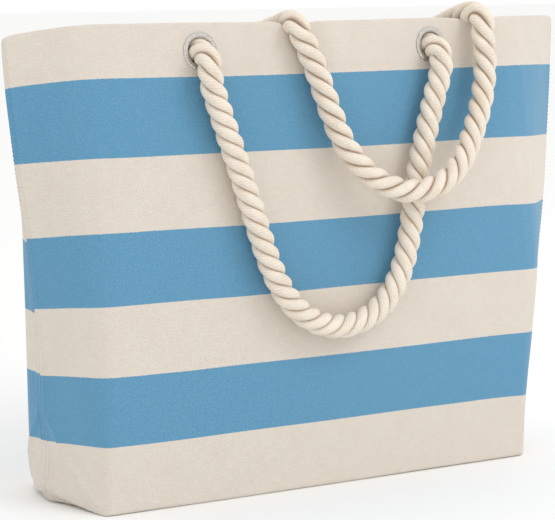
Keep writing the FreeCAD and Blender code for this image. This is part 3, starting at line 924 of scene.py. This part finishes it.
@dataclass
class BagCloth:
    """Both panels of the bag with gussets, turned base, rolled rim and inner facing."""

    form: BagForm
    stripes: dict[Side, Material]
    plain: Material
    cloth: float = 1.6 * MM
    facing: float = 3.4 * MM
    facing_depth: float = 36 * MM
    hole: float = 12.4 * MM
    base_reach: float = 62 * MM
    gap: float = 0.04 * MM

    def across_steps(self) -> Array:
        """Columns of the grid: even across the panel, and finer over the last 12 mm to each side seam."""
        plain, seam = self.form.seam - 12 * MM, self.form.seam
        half = np.concatenate([np.linspace(0, plain, 126), np.linspace(plain + 1 * MM, seam, 15)])
        return np.concatenate([-half[:0:-1], half])

    def up_steps(self) -> tuple[Array, Array]:
        """Rows under the base and up the wall, and rows of the hem."""
        hem = self.form.height - self.facing_depth
        fold, foot = np.linspace(0, 8 * MM, 7), np.linspace(12 * MM, self.base_reach, 9)
        wall = [fold, np.linspace(10 * MM, 75 * MM, 36), np.linspace(78 * MM, hem, 66)[:-1]]
        rows = np.concatenate([-np.concatenate([fold[1:], foot])[::-1], *wall])
        return rows, np.linspace(hem, self.form.height - self.facing / 2, 31)

    def holes(self, across: Array, up: Array, side: Side) -> tuple[Array, Array, Array]:
        """Round the grid onto the eyelet holes and say which cells fall inside them.

        Args:
            across, up: the hem's grid of cloth coordinates.
            side: which panel.

        Returns:
            The moved grid, and True for each cell that falls inside a hole.
        """
        gone = np.zeros((across.shape[0] - 1, across.shape[1] - 1), bool)
        for hand in Hand:
            x, z = self.form.eyelet_place(side, hand)
            middle_a = (across[1:, 1:] + across[:-1, :-1]) / 2 - x
            middle_u = (up[1:, 1:] + up[:-1, :-1]) / 2 - z
            inside = np.hypot(middle_a, middle_u) < self.hole
            gone |= inside
            touched, kept = np.zeros(across.shape, bool), np.zeros(across.shape, bool)
            for da, du in np.ndindex(2, 2):
                corner = slice(da, da + inside.shape[0]), slice(du, du + inside.shape[1])
                touched[corner] |= inside
                kept[corner] |= ~inside
            edge = touched & kept
            radius = np.maximum(np.hypot(across - x, up - z), 1e-6)
            across = np.where(edge, x + (across - x) * self.hole / radius, across)
            up = np.where(edge, z + (up - z) * self.hole / radius, up)
        return across, up, gone

    def offset(self, across: Array, up: Array, side: Side, inward: Array, lift: Array) -> Array:
        """Points at a depth inside the outer face, with a lift along the cloth.

        Args:
            across, up: cloth coordinates, in metres.
            side: which panel.
            inward: depth inside the outer face.
            lift: move up along the cloth.

        Returns:
            Points, as a front panel's.
        """
        step = 0.4 * MM
        points = self.form.skin(across, up, side)
        along = self.form.skin(across + step, up, side) - self.form.skin(across - step, up, side)
        rise = self.form.skin(across, up + step, side) - self.form.skin(across, up - step, side)
        rise = unit(rise)
        normal = unit(np.cross(along, rise))
        tilt = eased((12 * MM - up) / (20 * MM)) * math.pi / 2
        at_seam = np.stack([np.sign(across) * np.cos(tilt), 0 * tilt, -np.sin(tilt)], axis=-1)
        to_seam = self.form.seam - np.abs(across)
        near = bell(to_seam, 4 * MM)[..., None]
        normal = unit(normal * (1 - near) + at_seam * near)
        out = self.form.dents(across, up, side) * (1 - eased(-up / (16 * MM))) - inward
        moved = points + normal * out[..., None] + rise * lift[..., None]
        moved[..., 1] = np.minimum(moved[..., 1], -self.gap)
        moved[..., 1] = np.where(to_seam < 0.01 * MM, -self.gap, moved[..., 1])
        moved[..., 2] = np.maximum(moved[..., 2], 0.0)
        return moved

    def profile(self, wall: Array, hem: Array, roll: Array) -> tuple[Array, Array, Array]:
        """The panel's section: up the outside, over the rim, down the facing and the inside.

        Args:
            wall: heights of the rows below the hem.
            hem: heights of the rows in the hem.
            roll: angles of the rows over the rim.

        Returns:
            Height, depth inside the outer face and lift along the cloth, for each row.
        """
        half, outside = self.facing / 2, np.zeros(len(wall) + len(hem))
        over = np.full(len(roll), hem[-1])
        ups = np.concatenate([wall, hem, over, hem[::-1], [hem[0] - 0.8 * MM], wall[::-1]])
        inner = [np.full(len(hem), self.facing), [2.4 * MM], np.full(len(wall), self.cloth)]
        inward = np.concatenate([outside, half * (1 - np.cos(roll)), *inner])
        lift = np.concatenate([outside, half * np.sin(roll), np.zeros(len(outside) + 1)])
        return ups, inward, lift

    def panel(self, side: Side) -> Object:
        """One panel as a closed surface: outer face, rolled rim, facing, inner face and base.

        Args:
            side: which panel.

        Returns:
            The panel.
        """
        wall, hem = self.up_steps()
        roll = np.linspace(0, math.pi, 9)[1:-1]
        ups, inward, lift = self.profile(wall, hem, roll)
        across, up = np.meshgrid(self.across_steps(), ups, indexing="ij")
        low, high = len(wall), len(wall) + len(hem)
        inner_low = high + len(roll)
        inner_high = inner_low + len(hem)
        across_hem, up_hem, gone = self.holes(across[:, low:high], up[:, low:high], side)
        across[:, low:high], up[:, low:high] = across_hem, up_hem
        across[:, inner_low:inner_high], up[:, inner_low:inner_high] = across_hem[:, ::-1], up_hem[:, ::-1]
        shape = rows, count = across.shape
        points = self.offset(across, up, side, np.broadcast_to(inward, shape), np.broadcast_to(lift, shape))
        keep = np.ones((rows - 1, count - 1), bool)
        keep[:, low : high - 1] &= ~gone
        keep[:, inner_low : inner_high - 1] &= ~gone[:, ::-1]
        inside = np.ones(keep.shape, int)
        inside[:, : high + len(roll) // 2] = 0
        index = np.arange(rows * count).reshape(shape)
        walls = self.hole_walls(gone, index[:, low:high], index[:, inner_low:inner_high][:, ::-1])
        closing = np.stack([index[1:, -1], index[:-1, -1], index[:-1, 0], index[1:, 0]], axis=-1).tolist()
        closing += [index[0, ::-1].tolist(), index[-1].tolist()]
        faces = grid_faces(rows, count).reshape(rows - 1, count - 1, 4)[keep].tolist() + walls + closing
        slots = np.concatenate([inside[keep], np.ones(len(walls), int), np.zeros(len(closing), int)])
        maps = {"cloth": np.stack([across, up], axis=-1).reshape(-1, 2)}
        points, faces = turned_out(points.reshape(-1, 3), faces, side)
        finishes = [self.stripes[side], self.plain]
        panel = make_mesh(f"{side.label}_cloth", points, faces, finishes, slots, maps, 50.0)
        settle(panel, "striped_canvas", f"{side.label}_panel", f"{side.label}_facing")
        return panel

    @staticmethod
    def hole_walls(gone: Array, outer: Array, inner: Array) -> list:
        """Short faces that join the two plies round each hole.

        Args:
            gone: True for each cell inside a hole.
            outer, inner: vertex indices of the two plies.

        Returns:
            Faces, as lists of vertex indices.
        """
        walls = []
        padded = np.pad(gone, 1)
        for i, j in np.argwhere(gone):
            sides = (
                (padded[i, j + 1], (i, j), (i, j + 1)),
                (padded[i + 2, j + 1], (i + 1, j + 1), (i + 1, j)),
                (padded[i + 1, j], (i + 1, j), (i, j)),
                (padded[i + 1, j + 2], (i, j + 1), (i + 1, j + 1)),
            )
            for neighbour, start, end in sides:
                if not neighbour:
                    walls.append([int(outer[start]), int(outer[end]), int(inner[end]), int(inner[start])])
        return walls

    def build(self) -> None:
        """Make both panels."""
        for side in Side:
            self.panel(side)


# ---- rope
@dataclass(frozen=True)
class Twist:
    """Three-strand rope: its size and lay."""

    radius: float = 9.5 * MM
    strand: float = 4.6 * MM
    centre: float = 5.15 * MM
    flatten: float = 0.97
    lay: float = 39.5 * MM
    strands: int = 3
    sides: int = 18
    step: float = 1.6 * MM

    def strand_rings(self, line: Array, number: int, phase: float) -> tuple[Array, Array]:
        """One strand wound round a line, as rings squared to its own helix.

        The strand's middle makes one turn round the line in each lay, and its section is a circle
        pressed a little flat.

        Args:
            line: evenly spaced points of the rope's middle.
            number: which strand, from 0.
            phase: turn of the whole rope about its middle, in radians.

        Returns:
            Points, (line, sides, 3), and UVs, (line, sides, 2): metres along and turns round, whose
            wrap lies on the buried side.
        """
        along = run_length(line)
        tangents, normals, sides = frames_along(line)
        turn = (phase + number * TAU / self.strands - TAU * along / self.lay)[:, None]
        outward = normals * np.cos(turn) + sides * np.sin(turn)
        heading = unit(tangents - np.cross(tangents, outward) * TAU * self.centre / self.lay)
        flat = np.cross(heading, outward)
        angle = ring_angles(self.sides, math.pi)[:, None]
        ring = outward[:, None] * np.cos(angle) + flat[:, None] * np.sin(angle) * self.flatten
        rings = (line + outward * self.centre)[:, None] + ring * self.strand
        return rings, np.stack(np.broadcast_arrays(along[:, None], angle[:, 0] / TAU), axis=-1)

    def mesh(
        self, name: str, line: Array, span: tuple[int, int], material: Material, phase: float = 0.0
    ) -> Object:
        """One piece of rope with closed ends.

        Args:
            name: the piece's name.
            line: evenly spaced points of the whole rope's middle.
            span: first and last point of this piece, the last not included.
            material: the rope's finish.
            phase: turn of the whole rope about its middle, in radians.

        Returns:
            The piece.
        """
        start, end = span
        points, faces, uvs = [], [], []
        for number in range(self.strands):
            rings, uv = self.strand_rings(line, number, phase)
            faces += tube_faces(end - start, self.sides, number * (end - start) * self.sides)
            points.append(rings[start:end].reshape(-1, 3))
            uvs.append(uv[start:end].reshape(-1, 2))
        maps = {"strand": np.concatenate(uvs)}
        piece = make_mesh(name, np.concatenate(points), faces, [material], None, maps, 75.0)
        return piece

    def declare(self, piece: Object, path: Array, others: list) -> None:
        """Does nothing; no handle is declared as a limp cord.

        Args:
            piece: the rope between its two ends; not used.
            path: evenly spaced points of its middle; not used.
            others: the pieces that carry it on; not used.
        """


@dataclass
class FrontHandle:
    """Front rope handle: hangs in a deep U from its two eyelets."""

    twist: Twist
    rope: Material
    ends: list
    route: tuple = (
        (-0.110, -0.030, 0.350), (-0.110, -0.050, 0.350), (-0.111, -0.0545, 0.329),
        (-0.105, -0.0555, 0.311), (-0.095, -0.059, 0.281), (-0.084, -0.0625, 0.248),
        (-0.073, -0.0655, 0.214), (-0.0615, -0.068, 0.181), (-0.045, -0.0705, 0.1525),
        (-0.019, -0.072, 0.134), (0.012, -0.072, 0.130), (0.041, -0.071, 0.1415), (0.061, -0.0695, 0.1655),
        (0.0705, -0.0675, 0.194), (0.0765, -0.065, 0.225), (0.083, -0.062, 0.256), (0.093, -0.0585, 0.286),
        (0.103, -0.0545, 0.313), (0.110, -0.0535, 0.331), (0.110, -0.050, 0.350), (0.110, -0.030, 0.350),
    )

    def build(self) -> Object:
        line = spline_points("front_handle_line", self.route, self.twist.step)
        loop = self.twist.mesh("front_handle_rope", line, (0, len(line)), self.rope, 0.6)
        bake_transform(loop)
        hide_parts("front_handle_loop")
        self.twist.declare(loop, line, self.ends)
        return loop


@dataclass
class BackHandle:
    """Back rope handle: over both rims from the back eyelets, then down over the front handle."""

    twist: Twist
    rope: Material
    ends: list
    route: tuple = (
        (-0.110, 0.031, 0.342), (-0.110, 0.0505, 0.342), (-0.090, 0.0565, 0.343), (-0.062, 0.0570, 0.345),
        (-0.037, 0.0555, 0.348), (-0.015, 0.050, 0.353), (0.003, 0.037, 0.3605), (-0.004, 0.012, 0.3645),
        (-0.015, -0.012, 0.3685), (-0.0245, -0.034, 0.3710), (-0.0290, -0.0480, 0.3690),
        (-0.0225, -0.0495, 0.357), (-0.013, -0.055, 0.332), (-0.0035, -0.061, 0.300),
        (0.008, -0.066, 0.272), (0.027, -0.073, 0.249), (0.055, -0.083, 0.236), (0.085, -0.088, 0.240),
        (0.111, -0.082, 0.257), (0.131, -0.070, 0.280), (0.1465, -0.0605, 0.305), (0.1545, -0.054, 0.332),
        (0.1545, -0.0495, 0.356), (0.1540, -0.0480, 0.3745), (0.1535, -0.034, 0.3755),
        (0.158, -0.012, 0.3710), (0.165, 0.012, 0.3650), (0.172, 0.036, 0.3585), (0.164, 0.0505, 0.350),
        (0.148, 0.0565, 0.345), (0.131, 0.057, 0.343), (0.110, 0.0505, 0.342), (0.110, 0.031, 0.342),
    )
    crest_y: float = 4 * MM
    between_x: float = 80 * MM

    def build(self) -> list[Object]:
        """Make the handle in three lengths."""
        line = spline_points("back_handle_line", self.route, self.twist.step)
        from_crest = np.abs(line[:, 1] - self.crest_y)
        crest_left = int(np.argmin(from_crest + 10 * (line[:, 0] > self.between_x)))
        crest_right = int(np.argmin(from_crest + 10 * (line[:, 0] < self.between_x)))
        left = self.twist.mesh("back_handle_left_rope", line, (0, crest_left + 1), self.rope)
        middle = self.twist.mesh("back_handle_rope", line, (crest_left, crest_right + 1), self.rope)
        right = self.twist.mesh("back_handle_right_rope", line, (crest_right, len(line)), self.rope)
        legs, loop = "back_handle_legs", "back_handle_loop"
        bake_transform(left)
        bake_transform(right)
        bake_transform(middle)
        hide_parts("back_handle_left_leg")
        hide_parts("back_handle_right_leg")
        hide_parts(loop)
        self.twist.declare(middle, line[crest_left : crest_right + 1], [left, right, *self.ends])
        return [left, middle, right]


@dataclass
class RopeEnd:
    """One inner rope end: in through its eyelet, an overhand knot, a short tail and its whipping."""

    twist: Twist
    rope: Material
    twine: Material
    side: Side
    hand: Hand
    turn: tuple = ((0, 18.5, 0), (0, 28.5, 0), (7, 38.2, 5), (18, 42, 16), (25, 41, 28))
    tail: tuple[float, float] = (24, 40.2)
    whipping: float = 15 * MM

    @property
    def start(self) -> Array:
        """Where the handle turns on the outside of the eyelet."""
        y, z = (-0.049973, 0.350) if self.side is Side.FRONT else (0.05107, 0.342)
        return np.array([self.hand.value * 0.110, y, z])

    def place(self, sideways: Array, inwards: Array, down: Array) -> Array:
        """Points given by their way along the panel, into the bag and down, in millimetres."""
        way = self.hand.value if self.side is Side.FRONT else -self.hand.value
        sideways, inwards, down = np.broadcast_arrays(sideways, inwards, down)
        return self.start + np.stack([way * sideways, -self.side.value * inwards, -down], axis=-1) * MM

    def knot(self) -> Array:
        """Overhand knot: an open trefoil drawn out along the rope, each way a polynomial of one number."""
        t = np.linspace(1.9, -1.9, 23)
        across = 3.5 * (t**4 - 4 * t**2)
        deep = 3.6 * (t**3 - 3 * t)
        along = 1.5 * (t**5 - 10 * t)
        return self.place(28 + across, self.tail[1] + deep, 68.5 - along)

    def build(self) -> list[Object]:
        """Make the rope end and the twine wound round its tail."""
        name = f"{self.side.label}_{self.hand.label}"
        lead = self.place(*np.array(self.turn).T)
        foot = self.place(*self.tail, [96, 104, 116.3])
        control = np.concatenate([lead, self.knot(), foot])
        line = spline_points(name + "_end_line", control, self.twist.step)
        rope = self.twist.mesh(name + "_knotted_end", line, (0, len(line)), self.rope)
        settle(rope, "cotton_rope", f"{name}_rope_end", f"{name}_knot", f"{name}_tail")
        return [rope, self.wind(name)]

    def wind(self, name: str) -> Object:
        """Twine wound round the tail: a sleeve whose radius rises and falls once a turn, as a helix.

        Args:
            name: start of the pieces' names.

        Returns:
            The twine.
        """
        turns, sides = 9, 40
        height, angle = np.meshgrid(np.linspace(0, 1, turns * 8 + 1), ring_angles(sides), indexing="ij")
        ridge = np.abs(np.cos(math.pi * turns * height + angle / 2)) ** 0.6
        ends = np.clip(np.minimum(height, 1 - height) * 30, 0, 1) ** 0.5
        outer, inner = (
            np.stack([radius * np.cos(angle), radius * np.sin(angle), height * self.whipping], axis=-1)
            for radius in ((9.4 + 0.95 * ridge * ends) * MM, 8.6 * MM)
        )
        points = np.concatenate([outer, inner[::-1]]).reshape(-1, 3) + self.place(*self.tail, 113.3)
        faces = grid_faces(len(points) // sides + 1, sides, True) % len(points)
        piece = make_mesh(name + "_twine", points, faces, [self.twine])
        settle(piece, "whipping_twine", f"{name}_whipping")
        return piece


@dataclass
class InsideSeams:
    """Bound seam allowances inside the bag: up both sides, across the corners and along the base."""

    cloth: BagCloth
    tape: Material
    width: float = 10 * MM
    thick: float = 3 * MM

    def bound(self, name: str, line: Array, across: Array, seam: str) -> Object:
        """A rounded flat tape along a line.

        The section is a flattened rounded box whose wide way is given for each point.

        Args:
            name: the tape's name.
            line: points of its middle.
            across: its wide way at each point.
            seam: the CAD seam it stands for.

        Returns:
            The tape.
        """
        count = 20
        cos, sin = np.cos(ring_angles(count)), np.sin(ring_angles(count))
        wide = np.sign(cos) * np.abs(cos) ** 0.45 * self.width / 2
        high = np.sign(sin) * np.abs(sin) ** 0.7 * self.thick / 2
        normal = unit(np.cross(unit(np.gradient(line, axis=0)), across))
        along = run_length(line)[:, None]
        swell = 1 + 0.05 * np.sin(along * 310) + 0.05 * np.sin(along * 97 + 1)
        rings = line[:, None] + across[:, None] * wide[:, None] + normal[:, None] * (high * swell)[..., None]
        maps = {"cloth": np.stack(np.broadcast_arrays(wide, along), axis=-1).reshape(-1, 2)}
        faces = tube_faces(len(line), count)
        piece = make_mesh(name, rings.reshape(-1, 3), faces, [self.tape], None, maps, 40.0)
        settle(piece, "seam_tape", seam)
        return piece

    def build(self) -> None:
        """Make all five."""
        form = self.cloth.form
        for hand in Hand:
            ups = np.linspace(14 * MM, 334 * MM, 90)
            inset = np.full_like(ups, 2.6 * MM + self.width / 2)
            at_seam = np.full_like(ups, hand.value * form.seam)
            edge = self.cloth.offset(at_seam, ups, Side.FRONT, inset, 0 * ups)
            edge[:, 1] = 0
            inward = np.tile([float(hand.value), 0, 0], (len(ups), 1))
            self.bound(f"{hand.label}_side_binding", edge, inward, f"{hand.label}_side_seam")
            y = np.linspace(-34 * MM, 34 * MM, 30)
            x = np.full_like(y, hand.value * 205 * MM)
            z = np.full_like(y, 1.75 * MM + self.width / 2)
            flat = np.tile([0, 0, 1.0], (len(y), 1))
            line = np.stack([x, y, z], axis=1)
            self.bound(f"{hand.label}_corner_binding", line, flat, f"{hand.label}_corner_seam")
        x = np.linspace(-196 * MM, 196 * MM, 120)
        line = np.stack([x, 0.4 * MM * np.sin(x * 55), np.full_like(x, 1.75 * MM + self.thick / 2)], axis=1)
        flat = np.tile([0, 1.0, 0], (len(x), 1))
        self.bound("base_binding", line, flat, "base_seam")


@dataclass
class Stitching:
    """Rows of lockstitch on the outside: along the hem and beside each side seam.

    The thread was printed together with the cloth, so it reads the stripes at its own cloth place.
    """

    cloth: BagCloth
    pitch: float = 3.4 * MM
    length: float = 2.5 * MM
    radius: float = 0.28 * MM
    rise: float = 0.24 * MM
    dive: float = 0.12 * MM

    def row(self, name: str, across: Array, up: Array, step: tuple[float, float], side: Side) -> Object:
        """Stitches at cloth coordinates, each a short bowed thread whose ends dive into the cloth.

        Args:
            name: the row's name.
            across, up: cloth coordinates of each stitch's middle.
            step: the way the stitches run, across and up.
            side: which panel.

        Returns:
            The row.
        """
        half = self.length / 2
        skin, level = np.full_like(across, -0.05 * MM), np.zeros_like(across)
        first, last = (
            self.cloth.offset(across + way * step[0], up + way * step[1], side, skin, level)
            for way in (-half, half)
        )
        above = self.cloth.offset(across, up, side, skin - 1 * MM, level)
        out, run = unit(above - (first + last) / 2), last - first
        wide = np.cross(unit(run), out)
        rings, sides = 6, 6
        share, angle = np.linspace(0, 1, rings)[:, None], ring_angles(sides)[:, None]
        bow = np.sin(math.pi * share)
        centre = first[:, None] + run[:, None] * share + out[:, None] * (self.rise * bow - self.dive)
        ring = wide[:, None, None] * np.cos(angle) + out[:, None, None] * np.sin(angle)
        points = centre[:, :, None] + ring * self.radius * (0.45 + 0.55 * bow)[:, None]
        each = rings * sides
        faces = [face for number in range(len(across)) for face in tube_faces(rings, sides, number * each)]
        points, faces = turned_out(points.reshape(-1, 3), faces, side)
        places = np.repeat(np.stack([across, up], axis=1), each, axis=0)
        piece = make_mesh(name, points, faces, [self.cloth.stripes[side]], None, {"cloth": places})
        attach(piece, "bag")
        return piece

    def build(self) -> None:
        """Make the hem rows and the seam rows."""
        form = self.cloth.form
        for side in Side:
            across = np.arange(-form.seam + 3 * MM, form.seam - 3 * MM, self.pitch)
            self.row(f"{side.label}_hem_stitching", across, np.full_like(across, form.hem_line), (1, 0), side)
            ups = np.arange(16 * MM, 366 * MM, self.pitch)
            for hand in Hand:
                beside = np.full_like(ups, hand.value * (form.seam - 5 * MM))
                self.row(f"{side.label}_{hand.label}_seam_stitching", beside, ups, (0, 1), side)


# ---- dressing CAD nodes
def dress(node: Object, material: Material) -> None:
    """Give a CAD node a material in place of its plain one."""
    node.data.materials.clear()
    node.data.materials.append(material)


def main() -> None:
    """Build the part in order and report each piece."""
    logging.basicConfig(level=logging.INFO, format="%(name)s: %(message)s")
    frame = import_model()
    studio = Studio()
    studio.camera()
    rope = RopeFinish().build()
    twine = ThreadFinish("waxed_twine", light="#e6dac6", dark="#b7a486").build()
    twists = {Side.FRONT: Twist(), Side.BACK: Twist(lay=46 * MM)}
    ends = {
        side: [piece for hand in Hand for piece in RopeEnd(twist, rope, twine, side, hand).build()]
        for side, twist in twists.items()
    }
    FrontHandle(twists[Side.FRONT], rope, ends[Side.FRONT]).build()
    BackHandle(twists[Side.BACK], rope, ends[Side.BACK]).build()
    front_edges = (53.3 * MM, 106.2 * MM, 160.1 * MM, 215.2 * MM, 271.5 * MM, 330.3 * MM)
    back_edges = (53.0 * MM, 107.5 * MM, 156.8 * MM, 212.4 * MM, 272 * MM, 330.0 * MM)
    stripes = {
        Side.FRONT: CanvasFinish("striped_canvas", edges=front_edges).build(),
        Side.BACK: CanvasFinish("striped_canvas_back", edges=back_edges).build(),
    }
    cloth = BagCloth(BagForm(), stripes, CanvasFinish("natural_canvas").build())
    cloth.build()
    InsideSeams(cloth, CanvasFinish("binding_tape", cream="#e6ddd0", slub="#d5c9b8").build()).build()
    Stitching(cloth).build()
    metal = MetalFinish().build()
    for name, node in frame["nodes"].items():
        if name.endswith(("_eyelet", "_washer")):
            dress(node, metal)
    studio.build()
    for piece in bpy.context.scene.objects:
        if piece.type == "MESH":
            log.info("%s: %d faces", piece.name, len(piece.data.polygons))


if __name__ == "__main__":
    main()
